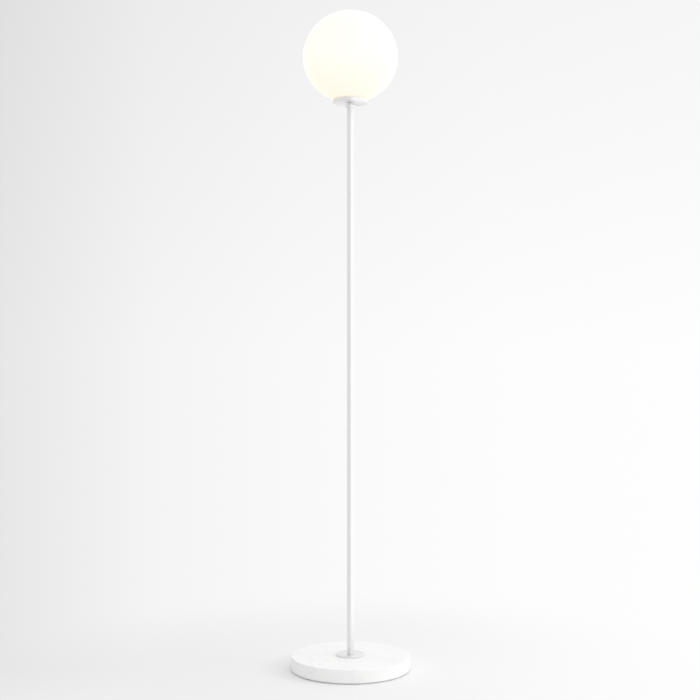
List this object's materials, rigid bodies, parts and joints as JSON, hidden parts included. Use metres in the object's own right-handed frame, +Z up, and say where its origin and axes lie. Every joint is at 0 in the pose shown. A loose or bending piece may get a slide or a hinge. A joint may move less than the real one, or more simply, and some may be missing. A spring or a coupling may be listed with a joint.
{
  "type": "globe floor lamp",
  "caption": "Floor lamp with an opal glass globe in a shallow metal dish, on a slim metal pole and a round marble base.",
  "frame": {"origin": "on the floor, on the pole's axis, under the middle of the base", "axes": "+Z up along the pole; the cord enters the base from +Y, so the front faces -Y; +X to the right seen from the front"},
  "size_m": [0.275, 0.275, 1.525],
  "materials": {
    "white_marble": "honed white marble with faint grey veins",
    "felt": "pressed wool felt",
    "zinc_steel": "bright zinc-plated steel",
    "spring_steel": "blank spring steel",
    "brass": "machined brass",
    "bronze": "rolled phosphor bronze",
    "silicone": "translucent white silicone",
    "satin_nickel": "satin nickel plate on steel",
    "white_rubber": "moulded pale rubber",
    "terminal_plastic": "moulded natural nylon",
    "opal_glass": "blown opal glass, flame-polished",
    "holder_plastic": "moulded white thermoset",
    "holder_ceramic": "unglazed steatite",
    "brown_insulation": "extruded insulation",
    "blue_insulation": "extruded insulation",
    "solder": "tinned contact",
    "black_glass": "glossy insulating bead",
    "bulb_cap_metal": "rolled nickel-plated cap",
    "bulb_plastic": "white housing",
    "circuit_board": "solder-masked board",
    "led_board_white": "white-masked aluminium board",
    "led_phosphor": "yellow phosphor",
    "bulb_diffuser": "frosted diffuser"
  },
  "bodies": {
    "lamp_stand": {"marble_base": "white_marble", "base_pad": "felt", "bottom_cover": "zinc_steel", "cover_screws": "zinc_steel", "cover_inserts": "brass", "clamp_plate": "zinc_steel", "lock_washer": "spring_steel", "stud_nut": "zinc_steel", "base_stud": "zinc_steel", "collar_gasket": "silicone", "base_collar": "satin_nickel", "cord_gland": "white_rubber", "terminal_block": "terminal_plastic", "terminal_tubes": "brass", "terminal_screws": "zinc_steel", "block_screw": "zinc_steel", "cord_saddle": "terminal_plastic", "saddle_screws": "zinc_steel", "pole_lower": "satin_nickel", "pole_middle": "satin_nickel", "pole_upper": "satin_nickel", "pole_bushes": "zinc_steel", "joint_nipples": "zinc_steel", "top_nipple": "zinc_steel", "pole_ferrule": "satin_nickel", "neck_spacer": "satin_nickel", "globe_dish": "satin_nickel", "dish_seal": "silicone", "spring_spider": "spring_steel", "dish_washer": "spring_steel", "dish_nut": "zinc_steel", "holder_cap": "holder_plastic", "holder_core": "holder_ceramic", "holder_shell": "holder_plastic", "contact_shell": "brass", "centre_contact": "bronze", "holder_terminals": "brass", "holder_screws": "zinc_steel", "lead_live": "brown_insulation", "lead_neutral": "blue_insulation"},
    "globe": {"globe": "opal_glass"},
    "bulb_core": {"bulb_contact": "solder"},
    "bulb": {"bulb_insulator": "black_glass", "bulb_cap": "bulb_cap_metal", "bulb_body": "bulb_plastic", "bulb_driver": "circuit_board", "led_board": "led_board_white", "led_chips": "led_phosphor", "bulb_dome": "bulb_diffuser"}
  },
  "joints": [
    {"name": "globe_lift", "type": "slide", "parent": "lamp_stand", "child": "globe", "axis": [0, 0, 1], "range_m": [0, 0.15]},
    {"name": "bulb_rise", "type": "slide", "parent": "lamp_stand", "child": "bulb_core", "axis": [0, 0, 1], "range_m": [0, 0.0109]},
    {"name": "bulb_turn", "type": "hinge", "parent": "bulb_core", "child": "bulb", "pos_m": [0, 0, 1.38], "axis": [0, 0, 1], "range_deg": [0, 1080]}
  ],
  "couplings": [
    {"joint": "bulb_rise", "follows": "bulb_turn", "m_per_rad": 0.00057614}
  ]
}
